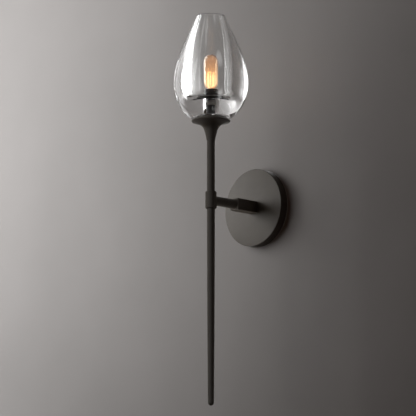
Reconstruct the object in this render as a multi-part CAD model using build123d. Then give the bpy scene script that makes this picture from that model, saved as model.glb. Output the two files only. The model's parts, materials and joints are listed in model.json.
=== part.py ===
from build123d import *
import math
import os

# Crystal wall sconce, in millimetres.
# The wall is the plane y = 0, the room lies towards -Y and z = 0 is the height of the arm.
# The arm runs along Y at x = 0. The stem stands on a vertical axis at y = -STANDOFF.

# Clearances
THREAD_CLEARANCE = 0.05
SLIP_CLEARANCE = 0.2
STRAP_CLEARANCE = 0.4
LAMP_THREAD_CLEARANCE = 0.2
LAMP_TIP_GAP = 0.05
LEAD_CLEARANCE = 0.25

# Canopy on the wall
CANOPY_DIAMETER = 121.0
CANOPY_DEPTH = 14.0
CANOPY_WALL = 2.5
CANOPY_EDGE_RADIUS = 0.8

# Strap that screws to the wall box, inside the canopy
STRAP_WIDTH = 24.0
STRAP_GAUGE = 2.0
STRAP_EAR_GAP = 2.5
CABLE_HOLE_DIAMETER = 20.0
BOX_SCREW_SPACING = 79.4
BOX_SLOT_WIDTH = 4.6
BOX_SLOT_LENGTH = 14.2

# Small screws
GRUB_DIAMETER = 4.0
GRUB_SOCKET = 2.0
GRUB_SOCKET_DEPTH = 1.2
GRUB_RECESS = 0.4
EARTH_SCREW_DIAMETER = 4.0
EARTH_HEAD_DIAMETER = 8.0
EARTH_HEAD_HEIGHT = 2.4
EARTH_SCREW_DROP = 20.0
SCREW_SLOT_WIDTH = 1.0
SCREW_SLOT_DEPTH = 1.0

# Arm, from the canopy out to the stem
STANDOFF = 107.0
ARM_DIAMETER = 14.6
ARM_SOCKET_DEPTH = 10.0
BLOCK_LENGTH = 42.0
BLOCK_WALL = 1.55
BLOCK_EDGE = 0.4
BLOCK_BORE = 7.5
ARM_PIPE_DIAMETER = 10.0
ARM_PIPE_BORE = 7.0
ARM_PIPE_ENGAGEMENT = 12.0
ARM_PIPE_TAIL = 0.5
ARM_NUT_WIDTH = 15.0
ARM_NUT_HEIGHT = 2.6
ARM_WASHER_DIAMETER = 19.0
ARM_WASHER_THICKNESS = 0.8
ARM_STUB_DIAMETER = 9.5
ARM_STUB_BORE = 6.5
ARM_STUB_ENGAGEMENT = 14.0
COPE_GAP = 0.03

# Collar, stem and lower rod
STEM_DIAMETER = 12.4
STEM_WALL = 1.8
STEM_EXPOSED = 81.0
STEM_SOCKET_DEPTH = 10.0
STEM_END_DROP = 8.5
LEAD_OPENING_DIAMETER = 7.0
COLLAR_WALL = 2.5
COLLAR_HEIGHT = 26.5
COLLAR_EDGE_RADIUS = 1.1
ROD_EXPOSED = 306.5
ROD_TIP_DIAMETER = 9.2
ROD_SWELL_DIAMETER = 11.7
ROD_SWELL_SHARE = 0.33
ROD_SPIGOT_LENGTH = 5.0

# Flared cup under the crystal
CUP_HEIGHT = 33.6
CUP_FOOT_WALL = 0.95
CUP_FOOT_LENGTH = 2.6
CUP_LIP_DIAMETER = 60.4
CUP_LIP_THICKNESS = 3.4
CUP_LIP_SLOPE = 16.0
CUP_FOOT_SPREAD = 4.0
CUP_FOOT_PULL = 0.7
CUP_LIP_PULL = 0.8
CUP_SEAT_DIAMETER = 50.0
CUP_SEAT_RISE = 2.1
SEAT_GASKET_INSET = 1.0
SEAT_GASKET_THICKNESS = 1.0

# Crystal bowl
GLASS_HEIGHT = 161.2
GLASS_DIAMETER = 115.5
GLASS_BELLY_HEIGHT = 52.2
GLASS_BASE_DIAMETER = 63.0
GLASS_BASE_EDGE_RADIUS = 1.5
GLASS_FLOOR = 28.6
GLASS_RIM_DIAMETER = 46.0
GLASS_RIM_WALL = 4.2
GLASS_RIM_TAPER = 23.0
GLASS_BELLY_PULL = 38.0
GLASS_RIM_PULL = 36.0
CAVITY_DIAMETER = 66.0
CAVITY_FOOT_DIAMETER = 71.0
CAVITY_SHOULDER_DROP = 84.0
CAVITY_CORNER_RADIUS = 11.0
BUSH_TOP_DIAMETER = 17.4
BUSH_BOTTOM_DIAMETER = 15.2
BUSH_CLEARANCE = 0.3

# Lampholder on the crystal's floor
FLOOR_GASKET_DIAMETER = 29.0
FLOOR_GASKET_THICKNESS = 1.7
FLOOR_GASKET_SPIGOT = 3.0
DISC_GAP = 14.0
DISC_THICKNESS = 1.8
DISC_EDGE_RADIUS = 0.6
LAMP_PIPE_DIAMETER = 8.0
LAMP_PIPE_BORE = 5.6
LAMP_PIPE_ENGAGEMENT = 7.0
HOLDER_TAIL_WALL = 1.45
HOLDER_TAIL_LENGTH = 8.0
HOLDER_BASE = 3.4
HOLDER_BODY_WALL = 2.3
HOLDER_BODY_HEIGHT = 14.8
HOLDER_FLANGE = 1.0
HOLDER_SHELL_WALL = 0.5
HOLDER_SHELL_HEIGHT = 10.9
CONTACT_WIDTH = 3.0
CONTACT_GAUGE = 0.4
CONTACT_REACH = 4.6
CONTACT_HEIGHT = 1.3
COVER_WALL = 1.2
COVER_HEIGHT = 16.8
COVER_MOUTH_CLEARANCE = 1.2
COVER_EDGE_RADIUS = 0.6

# Lamp
LAMP_TIP_DIAMETER = 4.6
LAMP_TIP_HEIGHT = 1.2
LAMP_INSULATOR_HEIGHT = 2.0
LAMP_CAP_DIAMETER = 11.8
LAMP_CAP_LENGTH = 10.0
LAMP_CAP_WALL = 0.45
LAMP_CAP_ROLL = 1.4
LAMP_DIAMETER = 22.2
LAMP_GLASS_HEIGHT = 42.8
LAMP_GLASS_WALL = 0.8
LAMP_NECK_DEPTH = 3.0
LAMP_SHOULDER_HEIGHT = 9.0
LAMP_DOME_HEIGHT = 10.0
LAMP_DOME_ROUNDNESS = 0.55
LAMP_MOUNT_HEIGHT = 4.5
LAMP_MOUNT_DIAMETER = 4.4
LAMP_POST_DIAMETER = 1.0
LAMP_BUTTON_THICKNESS = 1.0
FILAMENT_DIAMETER = 0.35
FILAMENT_RING_DIAMETER = 10.0
FILAMENT_HEIGHT = 14.5
FILAMENT_LIFT = 3.0
FILAMENT_STRANDS = 8
FILAMENT_BEND_SHARE = 0.45
SUPPORT_DIAMETER = 0.6
SUPPORT_SPREAD = 3.0
SUPPORT_RISE = 1.2
SUPPORT_BEND_RADIUS = 0.7

# Wiring inside the tubes and the canopy
LEAD_DIAMETER = 1.7
LEAD_SPACING = 2.3
LEAD_STEM_BEND = 6.0
LEAD_CANOPY_BEND = 2.2
TERMINAL_WIDTH = 16.0
TERMINAL_HEIGHT = 13.0
TERMINAL_EDGE = 0.6
TERMINAL_NUT_GAP = 1.5
TERMINAL_SKIN = 0.4
TERMINAL_SCREW_DIAMETER = 3.4
TERMINAL_SCREW_HEIGHT = 0.8
TERMINAL_SCREW_SPACING = 8.0

# Radii that follow from the sizes above
STEM_BORE = STEM_DIAMETER - 2 * STEM_WALL
COLLAR_BORE = STEM_DIAMETER + 2 * THREAD_CLEARANCE
COLLAR_DIAMETER = COLLAR_BORE + 2 * COLLAR_WALL
ARM_BORE = ARM_STUB_DIAMETER + 2 * THREAD_CLEARANCE
ARM_SOCKET = ARM_DIAMETER + 2 * THREAD_CLEARANCE
BLOCK_SIDE = ARM_SOCKET + 2 * BLOCK_WALL
CUP_FOOT_RADIUS = COLLAR_BORE / 2 + CUP_FOOT_WALL
LAMP_PIPE_HOLE = LAMP_PIPE_DIAMETER + 2 * THREAD_CLEARANCE
HOLDER_TAIL_DIAMETER = LAMP_PIPE_HOLE + 2 * HOLDER_TAIL_WALL
HOLDER_TAIL_HOLE = HOLDER_TAIL_DIAMETER + 2 * SLIP_CLEARANCE
HOLDER_SHELL_BORE = LAMP_CAP_DIAMETER + 2 * LAMP_THREAD_CLEARANCE
HOLDER_SHELL_DIAMETER = HOLDER_SHELL_BORE + 2 * HOLDER_SHELL_WALL
HOLDER_BODY_BORE = HOLDER_SHELL_DIAMETER + 2 * THREAD_CLEARANCE
HOLDER_BODY_DIAMETER = HOLDER_BODY_BORE + 2 * HOLDER_BODY_WALL
HOLDER_FLANGE_DIAMETER = HOLDER_BODY_DIAMETER + 2 * HOLDER_FLANGE
COVER_BORE = HOLDER_FLANGE_DIAMETER + 2 * THREAD_CLEARANCE
COVER_DIAMETER = COVER_BORE + 2 * COVER_WALL
COVER_MOUTH = LAMP_CAP_DIAMETER + 2 * COVER_MOUTH_CLEARANCE
LAMP_NECK_RADIUS = LAMP_CAP_DIAMETER / 2 - LAMP_CAP_WALL - THREAD_CLEARANCE

# Places along Y, from the wall out
CANOPY_INSIDE = -(CANOPY_DEPTH - CANOPY_WALL)
WASHER_BACK = CANOPY_INSIDE + ARM_WASHER_THICKNESS
NUT_BACK = WASHER_BACK + ARM_NUT_HEIGHT
ARM_PIPE_BACK = NUT_BACK + ARM_PIPE_TAIL
LEAD_CANOPY_Y = ARM_PIPE_BACK + LEAD_CLEARANCE + LEAD_DIAMETER / 2
BLOCK_FRONT = -(CANOPY_DEPTH + BLOCK_LENGTH)
ARM_BACK = BLOCK_FRONT + ARM_SOCKET_DEPTH

# Heights on the stem, from the arm up
CUP_BOTTOM = COLLAR_HEIGHT / 2 + STEM_EXPOSED
STEM_TOP = CUP_BOTTOM + STEM_SOCKET_DEPTH
CUP_TOP = CUP_BOTTOM + CUP_HEIGHT
GLASS_BOTTOM = CUP_TOP + SEAT_GASKET_THICKNESS
GLASS_TOP = GLASS_BOTTOM + GLASS_HEIGHT
CAVITY_FLOOR = GLASS_BOTTOM + GLASS_FLOOR
DISC_BOTTOM = CAVITY_FLOOR + FLOOR_GASKET_THICKNESS
BUSH_TOP = CAVITY_FLOOR - FLOOR_GASKET_SPIGOT
HOLDER_BOTTOM = DISC_BOTTOM + DISC_THICKNESS
HOLDER_SEAT = HOLDER_BOTTOM + HOLDER_BASE
HOLDER_TAIL_END = HOLDER_BOTTOM - HOLDER_TAIL_LENGTH
LAMP_PIPE_TOP = HOLDER_TAIL_END + LAMP_PIPE_ENGAGEMENT
LAMP_BOTTOM = HOLDER_SEAT + CONTACT_HEIGHT + LAMP_TIP_GAP
INSULATOR_BOTTOM = LAMP_BOTTOM + LAMP_TIP_HEIGHT + LAMP_TIP_GAP
CAP_BOTTOM = INSULATOR_BOTTOM + LAMP_INSULATOR_HEIGHT
CAP_TOP = CAP_BOTTOM + LAMP_CAP_LENGTH
NECK_BOTTOM = CAP_TOP - LAMP_NECK_DEPTH
LAMP_TOP = CAP_TOP + LAMP_GLASS_HEIGHT
MOUNT_TOP = NECK_BOTTOM + LAMP_MOUNT_HEIGHT
FILAMENT_BOTTOM = MOUNT_TOP + FILAMENT_LIFT
FILAMENT_TOP = FILAMENT_BOTTOM + FILAMENT_HEIGHT

# Heights on the stem, from the arm down
STEM_BOTTOM = -STEM_END_DROP
ROD_BOTTOM = -COLLAR_HEIGHT / 2 - ROD_EXPOSED


def post(diameter, low, high):
    """An upright cylinder on the stem's axis between two heights."""
    rod = Cylinder(diameter / 2, high - low, align=(Align.CENTER, Align.CENTER, Align.MIN))
    return Pos(0, -STANDOFF, low) * rod


def bar(diameter, front, back):
    """A cylinder on the arm's axis between two places along Y."""
    rod = Cylinder(diameter / 2, back - front, align=(Align.CENTER, Align.CENTER, Align.MIN))
    return Pos(0, front, 0) * Rot(-90, 0, 0) * rod


def turned(*edges):
    """A solid turned on the stem's axis from a closed outline of (radius, height)."""
    outline = make_face(Curve() + list(edges))
    return Pos(0, -STANDOFF, 0) * revolve(Plane.XZ * outline, Axis.Z)


def turned_on_arm(*edges):
    """A solid turned on the arm's axis from a closed outline of (radius, place along Y)."""
    return revolve(make_face(Curve() + list(edges)), Axis.Y)


def wire(diameter, points, radii):
    """A round wire along straight runs joined by tangent arcs."""
    path = FilletPolyline(*points, radius=radii)
    section = Plane(path @ 0, z_dir=path % 0) * Circle(diameter / 2)
    return sweep(section, path=path)


def grub_screw(length):
    """A headless screw along Z, its driver socket at the top end."""
    screw = Cylinder(GRUB_DIAMETER / 2, length, align=(Align.CENTER, Align.CENTER, Align.MIN))
    socket = RegularPolygon(GRUB_SOCKET / 2, 6, major_radius=False)
    return screw - extrude(Pos(0, 0, length) * socket, -GRUB_SOCKET_DEPTH)


def ear_depth():
    return CANOPY_DEPTH - CANOPY_WALL - STRAP_EAR_GAP


def strap_reach():
    """Half the strap's height: its ears' corners just clear the inside of the canopy's rim."""
    inside = CANOPY_DIAMETER / 2 - CANOPY_WALL - STRAP_CLEARANCE
    return math.sqrt(inside ** 2 - (STRAP_WIDTH / 2) ** 2)


def grub_y():
    return -(STRAP_GAUGE + ear_depth()) / 2


def canopy():
    radius = CANOPY_DIAMETER / 2
    inside = radius - CANOPY_WALL
    hole = ARM_PIPE_DIAMETER / 2 + THREAD_CLEARANCE
    edge_start = (radius - CANOPY_EDGE_RADIUS, -CANOPY_DEPTH)
    front = Line((hole, -CANOPY_DEPTH), edge_start)
    edge = JernArc(edge_start, (1, 0), CANOPY_EDGE_RADIUS, 90)
    rest = Polyline(edge @ 1, (radius, 0), (inside, 0), (inside, CANOPY_INSIDE), (hole, CANOPY_INSIDE),
                    front @ 0)
    pan = turned_on_arm(front, edge, *rest.edges())
    screw_hole = Cylinder(GRUB_DIAMETER / 2 + THREAD_CLEARANCE, CANOPY_DIAMETER + 2 * CANOPY_WALL)
    return pan - Pos(0, grub_y(), 0) * screw_hole


def wall_bracket():
    reach = strap_reach()
    strap = Pos(0, -STRAP_GAUGE / 2, 0) * Box(STRAP_WIDTH, STRAP_GAUGE, 2 * reach)
    for side in (-1, 1):
        ear = Box(STRAP_WIDTH, ear_depth(), STRAP_GAUGE, align=(Align.CENTER, Align.MAX, Align.CENTER))
        strap += Pos(0, 0, side * (reach - STRAP_GAUGE / 2)) * ear
    bends = strap.edges().filter_by(Axis.X).group_by(Axis.Y)[-1]
    strap = fillet(bends, STRAP_GAUGE / 2)
    slot = Plane.XZ * SlotOverall(BOX_SLOT_LENGTH, BOX_SLOT_WIDTH, rotation=90)
    for side in (-1, 1):
        strap -= Pos(0, 0, side * BOX_SCREW_SPACING / 2) * extrude(slot, 2 * STRAP_GAUGE, both=True)
    strap -= bar(CABLE_HOLE_DIAMETER, -2 * STRAP_GAUGE, STRAP_GAUGE)
    earth_hole = bar(EARTH_SCREW_DIAMETER + 2 * THREAD_CLEARANCE, -2 * STRAP_GAUGE, STRAP_GAUGE)
    strap -= Pos(0, 0, -EARTH_SCREW_DROP) * earth_hole
    grub_hole = Cylinder(GRUB_DIAMETER / 2 + THREAD_CLEARANCE, 2 * CANOPY_DIAMETER)
    return strap - Pos(0, grub_y(), 0) * grub_hole


def canopy_screws():
    """Two headless screws through the canopy's rim into the strap's ears."""
    low = strap_reach() - STRAP_GAUGE
    high = CANOPY_DIAMETER / 2 - GRUB_RECESS
    screw = Pos(0, grub_y(), low) * grub_screw(high - low)
    return Part() + [screw, mirror(screw, Plane.XY)]


def earth_screw():
    shank = bar(EARTH_SCREW_DIAMETER, -STRAP_GAUGE, 0)
    head = bar(EARTH_HEAD_DIAMETER, -STRAP_GAUGE - EARTH_HEAD_HEIGHT, -STRAP_GAUGE)
    slot = Box(EARTH_HEAD_DIAMETER, 2 * SCREW_SLOT_DEPTH, SCREW_SLOT_WIDTH)
    head -= Pos(0, -STRAP_GAUGE - EARTH_HEAD_HEIGHT, 0) * slot
    return Pos(0, 0, -EARTH_SCREW_DROP) * (shank + head)


def arm_block():
    """Square sleeve: screwed to the canopy behind, taking the round arm in front."""
    centre = -CANOPY_DEPTH - BLOCK_LENGTH / 2
    block = Pos(0, centre, 0) * Box(BLOCK_SIDE, BLOCK_LENGTH, BLOCK_SIDE)
    block = chamfer(block.edges(), BLOCK_EDGE)
    block -= bar(BLOCK_BORE, BLOCK_FRONT, -CANOPY_DEPTH)
    block -= bar(ARM_SOCKET, BLOCK_FRONT, ARM_BACK)
    pipe_socket = ARM_PIPE_DIAMETER + 2 * THREAD_CLEARANCE
    return block - bar(pipe_socket, -CANOPY_DEPTH - ARM_PIPE_ENGAGEMENT, -CANOPY_DEPTH)


def arm_pipe():
    front = -CANOPY_DEPTH - ARM_PIPE_ENGAGEMENT
    return bar(ARM_PIPE_DIAMETER, front, ARM_PIPE_BACK) - bar(ARM_PIPE_BORE, front, ARM_PIPE_BACK)


def arm_washer():
    hole = ARM_PIPE_DIAMETER + 2 * THREAD_CLEARANCE
    return bar(ARM_WASHER_DIAMETER, CANOPY_INSIDE, WASHER_BACK) - bar(hole, CANOPY_INSIDE, WASHER_BACK)


def arm_nut():
    hexagon = RegularPolygon(ARM_NUT_WIDTH / 2, 6, major_radius=False)
    nut = Pos(0, WASHER_BACK, 0) * Rot(-90, 0, 0) * extrude(hexagon, ARM_NUT_HEIGHT)
    return nut - bar(ARM_PIPE_DIAMETER + 2 * THREAD_CLEARANCE, WASHER_BACK, NUT_BACK)


def arm_tube():
    """Round arm, coped to the collar at its front end."""
    tube = bar(ARM_DIAMETER, -STANDOFF, ARM_BACK) - bar(ARM_BORE, -STANDOFF, ARM_BACK)
    return tube - post(COLLAR_DIAMETER + 2 * COPE_GAP, -ARM_DIAMETER, ARM_DIAMETER)


def arm_stub():
    front = -STANDOFF + STEM_DIAMETER / 2 + SLIP_CLEARANCE
    back = -STANDOFF + COLLAR_DIAMETER / 2 + ARM_STUB_ENGAGEMENT
    return bar(ARM_STUB_DIAMETER, front, back) - bar(ARM_STUB_BORE, front, back)


def collar():
    ring = post(COLLAR_DIAMETER, -COLLAR_HEIGHT / 2, COLLAR_HEIGHT / 2)
    ring = fillet(ring.edges().filter_by(GeomType.CIRCLE), COLLAR_EDGE_RADIUS)
    ring -= post(COLLAR_BORE, -COLLAR_HEIGHT / 2, COLLAR_HEIGHT / 2)
    ring -= bar(ARM_STUB_DIAMETER + 2 * THREAD_CLEARANCE, -STANDOFF, -STANDOFF + COLLAR_DIAMETER)
    screw_hole = Cylinder(GRUB_DIAMETER / 2 + THREAD_CLEARANCE, COLLAR_DIAMETER,
                          align=(Align.CENTER, Align.CENTER, Align.MIN))
    return ring - Pos(0, -STANDOFF, 0) * Rot(0, -90, 0) * screw_hole


def collar_screw():
    """Headless screw on the far side of the collar, bearing on the stem."""
    length = COLLAR_WALL - GRUB_RECESS
    start = -COLLAR_BORE / 2
    return Pos(start, -STANDOFF, 0) * Rot(0, -90, 0) * grub_screw(length)


def stem():
    tube = post(STEM_DIAMETER, STEM_BOTTOM, STEM_TOP) - post(STEM_BORE, STEM_BOTTOM, STEM_TOP)
    return tube - bar(LEAD_OPENING_DIAMETER, -STANDOFF, -STANDOFF + STEM_DIAMETER)


def lower_rod():
    """Tapered rod, a little full, with a round end and a spigot that screws into the stem."""
    radius = STEM_DIAMETER / 2
    tip = ROD_TIP_DIAMETER / 2
    spigot = STEM_BORE / 2 - THREAD_CLEARANCE
    spigot_top = STEM_BOTTOM + ROD_SPIGOT_LENGTH
    under_collar = -COLLAR_HEIGHT / 2
    swell_height = ROD_BOTTOM + ROD_SWELL_SHARE * (under_collar - ROD_BOTTOM)
    end = CenterArc((0, ROD_BOTTOM + tip), tip, 0, -90)
    side = Bezier(end @ 0, (ROD_SWELL_DIAMETER / 2, swell_height), (radius, under_collar))
    top = Polyline(side @ 1, (radius, STEM_BOTTOM), (spigot, STEM_BOTTOM), (spigot, spigot_top),
                   (0, spigot_top), end @ 1)
    return turned(end, side, *top.edges())


def cup():
    """Trumpet with a thin round lip, and a raised seat inside the lip that carries the crystal."""
    lip_top = CUP_TOP - CUP_SEAT_RISE
    under_lip = lip_top - CUP_LIP_THICKNESS
    lip_centre = (CUP_LIP_DIAMETER - CUP_LIP_THICKNESS) / 2
    flare_start = CUP_BOTTOM + CUP_FOOT_LENGTH
    rise = under_lip - flare_start
    pull = CUP_LIP_PULL * (lip_centre - CUP_FOOT_RADIUS)
    drop = pull * math.tan(math.radians(CUP_LIP_SLOPE))
    socket = COLLAR_BORE / 2
    hole = LAMP_PIPE_HOLE / 2
    foot = Polyline((socket, CUP_BOTTOM), (CUP_FOOT_RADIUS, CUP_BOTTOM), (CUP_FOOT_RADIUS, flare_start))
    flare = Bezier(
        (CUP_FOOT_RADIUS, flare_start),
        (CUP_FOOT_RADIUS + CUP_FOOT_SPREAD, flare_start + CUP_FOOT_PULL * rise),
        (lip_centre - pull, under_lip - drop),
        (lip_centre, under_lip),
    )
    lip = ThreePointArc(
        (lip_centre, under_lip),
        (CUP_LIP_DIAMETER / 2, lip_top - CUP_LIP_THICKNESS / 2),
        (lip_centre, lip_top),
    )
    inside = Polyline(lip @ 1, (CUP_SEAT_DIAMETER / 2, CUP_TOP), (hole, CUP_TOP), (hole, STEM_TOP),
                      (socket, STEM_TOP), foot @ 0)
    return turned(*foot.edges(), flare, lip, *inside.edges())


def bush_radius(height):
    """The radius of what fills the tapered hole through the crystal's base, at a height."""
    share = (height - CUP_TOP) / (CAVITY_FLOOR - CUP_TOP)
    return (BUSH_BOTTOM_DIAMETER + share * (BUSH_TOP_DIAMETER - BUSH_BOTTOM_DIAMETER)) / 2


def crystal_hole(height):
    return bush_radius(height) + BUSH_CLEARANCE


def seat_gasket():
    ring = post(CUP_SEAT_DIAMETER - 2 * SEAT_GASKET_INSET, CUP_TOP, GLASS_BOTTOM)
    return ring - post(2 * crystal_hole(GLASS_BOTTOM), CUP_TOP, GLASS_BOTTOM)


def glass_shade():
    """Thick crystal: an egg with an open rim, round a slim bell-shaped cavity over a solid base."""
    belly = (GLASS_DIAMETER / 2, GLASS_BOTTOM + GLASS_BELLY_HEIGHT)
    base_edge = (GLASS_BASE_DIAMETER / 2, GLASS_BOTTOM)
    rim_height = GLASS_TOP - GLASS_RIM_WALL / 2
    rim_outside = (GLASS_RIM_DIAMETER / 2, rim_height)
    rim_inside = (GLASS_RIM_DIAMETER / 2 - GLASS_RIM_WALL, rim_height)
    lean = math.tan(math.radians(GLASS_RIM_TAPER))
    lower = TangentArc(belly, base_edge, tangent=(0, -1))
    upper = Bezier(
        belly,
        (belly[0], belly[1] + GLASS_BELLY_PULL),
        (rim_outside[0] + lean * GLASS_RIM_PULL, rim_height - GLASS_RIM_PULL),
        rim_outside,
    )
    rim = ThreePointArc(rim_outside, ((rim_outside[0] + rim_inside[0]) / 2, GLASS_TOP), rim_inside)
    shoulder = (CAVITY_DIAMETER / 2, GLASS_TOP - CAVITY_SHOULDER_DROP)
    foot = (CAVITY_FOOT_DIAMETER / 2, CAVITY_FLOOR)
    cavity = TangentArc(shoulder, rim_inside, tangent=(shoulder[0] - foot[0], shoulder[1] - foot[1]))
    hole_top = (crystal_hole(CAVITY_FLOOR), CAVITY_FLOOR)
    hole_bottom = (crystal_hole(GLASS_BOTTOM), GLASS_BOTTOM)
    pocket = FilletPolyline(shoulder, foot, hole_top, radius=CAVITY_CORNER_RADIUS)
    base = Polyline(hole_top, hole_bottom, base_edge)
    shade = turned(lower, upper, rim, cavity, *pocket.edges(), *base.edges())
    rings = shade.edges().filter_by(GeomType.CIRCLE)
    base_ring = rings.group_by(Axis.Z)[0].sort_by(SortBy.RADIUS)[-1]
    return fillet(base_ring, GLASS_BASE_EDGE_RADIUS)


def hole_bush():
    """Tapered rubber bush in the crystal's hole, round the pipe below and the holder's tail above."""
    wide = HOLDER_TAIL_HOLE / 2
    narrow = LAMP_PIPE_HOLE / 2
    step = HOLDER_TAIL_END - SLIP_CLEARANCE
    outline = Polyline((narrow, CUP_TOP), (bush_radius(CUP_TOP), CUP_TOP), (bush_radius(BUSH_TOP), BUSH_TOP),
                       (wide, BUSH_TOP), (wide, step), (narrow, step), close=True)
    return turned(*outline.edges())


def floor_gasket():
    """Pale washer on the crystal's floor, with a spigot that centres it in the hole."""
    bore = HOLDER_TAIL_HOLE / 2
    flange = FLOOR_GASKET_DIAMETER / 2
    outline = Polyline((bore, BUSH_TOP), (bush_radius(BUSH_TOP), BUSH_TOP),
                       (bush_radius(CAVITY_FLOOR), CAVITY_FLOOR), (flange, CAVITY_FLOOR), (flange, DISC_BOTTOM),
                       (bore, DISC_BOTTOM), close=True)
    return turned(*outline.edges())


def retaining_disc():
    disc = post(CAVITY_DIAMETER - 2 * DISC_GAP, DISC_BOTTOM, HOLDER_BOTTOM)
    disc = fillet(disc.edges().filter_by(GeomType.CIRCLE), DISC_EDGE_RADIUS)
    return disc - post(HOLDER_TAIL_HOLE, DISC_BOTTOM, HOLDER_BOTTOM)


def lamp_pipe():
    return post(LAMP_PIPE_DIAMETER, STEM_TOP, LAMP_PIPE_TOP) - post(LAMP_PIPE_BORE, STEM_TOP, LAMP_PIPE_TOP)


def holder_body():
    """Moulded insulator: a flanged barrel on a tail that screws onto the lamp pipe."""
    body = post(HOLDER_FLANGE_DIAMETER, HOLDER_BOTTOM, HOLDER_SEAT)
    body += post(HOLDER_BODY_DIAMETER, HOLDER_SEAT, HOLDER_BOTTOM + HOLDER_BODY_HEIGHT)
    body += post(HOLDER_TAIL_DIAMETER, HOLDER_TAIL_END, HOLDER_BOTTOM)
    body -= post(HOLDER_BODY_BORE, HOLDER_SEAT, HOLDER_BOTTOM + HOLDER_BODY_HEIGHT)
    return body - post(LAMP_PIPE_HOLE, HOLDER_TAIL_END, HOLDER_BOTTOM)


def holder_shell():
    high = HOLDER_BOTTOM + HOLDER_BODY_HEIGHT
    low = high - HOLDER_SHELL_HEIGHT
    return post(HOLDER_SHELL_DIAMETER, low, high) - post(HOLDER_SHELL_BORE, low, high)


def holder_contact():
    """Bent tongue: a foot on the insulator, a riser and a pad under the lamp's tip."""
    foot = Box(CONTACT_REACH / 2, CONTACT_WIDTH, CONTACT_GAUGE, align=(Align.MIN, Align.CENTER, Align.MIN))
    riser = Box(CONTACT_GAUGE, CONTACT_WIDTH, CONTACT_HEIGHT, align=(Align.MIN, Align.CENTER, Align.MIN))
    pad = Box(CONTACT_REACH, CONTACT_WIDTH, CONTACT_GAUGE, align=(Align.CENTER, Align.CENTER, Align.MAX))
    tongue = Pos(CONTACT_REACH / 2 - CONTACT_GAUGE, 0, 0) * (foot + riser)
    tongue += Pos(0, 0, CONTACT_HEIGHT) * pad
    return Pos(0, -STANDOFF, HOLDER_SEAT) * tongue


def holder_cover():
    """Black sleeve over the lampholder, closed at the top round the lamp's cap."""
    top = HOLDER_BOTTOM + COVER_HEIGHT
    sleeve = post(COVER_DIAMETER, HOLDER_BOTTOM, top)
    upper_edge = sleeve.edges().filter_by(GeomType.CIRCLE).sort_by(Axis.Z)[-1]
    sleeve = fillet(upper_edge, COVER_EDGE_RADIUS)
    sleeve -= post(COVER_BORE, HOLDER_BOTTOM, top - COVER_WALL)
    return sleeve - post(COVER_MOUTH, HOLDER_BOTTOM, top)


def lamp_tip():
    button = post(LAMP_TIP_DIAMETER, LAMP_BOTTOM, LAMP_BOTTOM + LAMP_TIP_HEIGHT)
    lower_edge = button.edges().filter_by(GeomType.CIRCLE).sort_by(Axis.Z)[0]
    return fillet(lower_edge, LAMP_TIP_HEIGHT / 2)


def lamp_insulator():
    cap_inside = LAMP_CAP_DIAMETER / 2 - LAMP_CAP_WALL
    outline = Polyline((0, INSULATOR_BOTTOM), (LAMP_TIP_DIAMETER / 2, INSULATOR_BOTTOM),
                       (cap_inside, CAP_BOTTOM), (0, CAP_BOTTOM), close=True)
    return turned(*outline.edges())


def lamp_cap():
    """Thin metal cap, rolled in at its lower edge."""
    radius = LAMP_CAP_DIAMETER / 2
    inside = radius - LAMP_CAP_WALL
    roll = radius - LAMP_CAP_ROLL
    outline = Polyline((roll, CAP_BOTTOM), (radius, CAP_BOTTOM + LAMP_CAP_ROLL), (radius, CAP_TOP),
                       (inside, CAP_TOP), (inside, CAP_BOTTOM + LAMP_CAP_ROLL),
                       (roll - LAMP_CAP_WALL, CAP_BOTTOM), close=True)
    return turned(*outline.edges())


def envelope_side(inset):
    """The bulb's side and dome, set in by a wall thickness, from the neck to the top of the axis."""
    neck = LAMP_NECK_RADIUS - inset
    radius = LAMP_DIAMETER / 2 - inset
    shoulder = CAP_TOP + LAMP_SHOULDER_HEIGHT
    dome = LAMP_TOP - LAMP_DOME_HEIGHT
    middle = (CAP_TOP + shoulder) / 2
    throat = Line((neck, NECK_BOTTOM), (neck, CAP_TOP))
    flare = Bezier((neck, CAP_TOP), (neck, middle), (radius, middle), (radius, shoulder))
    side = Line((radius, shoulder), (radius, dome))
    top = LAMP_TOP - inset
    crown = Bezier(
        (radius, dome),
        (radius, dome + LAMP_DOME_ROUNDNESS * (top - dome)),
        (LAMP_DOME_ROUNDNESS * radius, top),
        (0, top),
    )
    return throat, flare, side, crown


def lamp_envelope():
    outside = envelope_side(0)
    inside = envelope_side(LAMP_GLASS_WALL)
    foot = Line(outside[0] @ 0, inside[0] @ 0)
    axis = Line(outside[-1] @ 1, inside[-1] @ 1)
    return turned(*outside, axis, *inside, foot)


def lamp_mount():
    """Glass foot that closes the neck and narrows to the press that carries the wires."""
    flare = LAMP_NECK_RADIUS - LAMP_GLASS_WALL - THREAD_CLEARANCE
    neck = LAMP_MOUNT_DIAMETER / 2
    middle = (NECK_BOTTOM + MOUNT_TOP) / 2
    side = Bezier((flare, NECK_BOTTOM), (neck, NECK_BOTTOM), (neck, NECK_BOTTOM), (neck, middle))
    rest = Polyline(side @ 1, (neck, MOUNT_TOP), (0, MOUNT_TOP), (0, NECK_BOTTOM), side @ 0)
    return turned(side, *rest.edges())


def lamp_post():
    """Glass rod on the press, with a button inside the top of the filament cage."""
    inside_links = FILAMENT_RING_DIAMETER * math.cos(math.pi / (FILAMENT_STRANDS + 1))
    button = inside_links - FILAMENT_DIAMETER - 2 * SLIP_CLEARANCE
    rod = post(LAMP_POST_DIAMETER, MOUNT_TOP, FILAMENT_TOP)
    return rod + post(button, FILAMENT_TOP - LAMP_BUTTON_THICKNESS, FILAMENT_TOP)


def strand_foot(strand):
    """The direction of a filament strand's foot from the lamp's axis."""
    turn = 2 * math.pi * (strand + 0.5) / (FILAMENT_STRANDS + 1)
    return Vector(math.cos(turn), math.sin(turn), 0)


def on_axis(height):
    return Vector(0, -STANDOFF, height)


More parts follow.
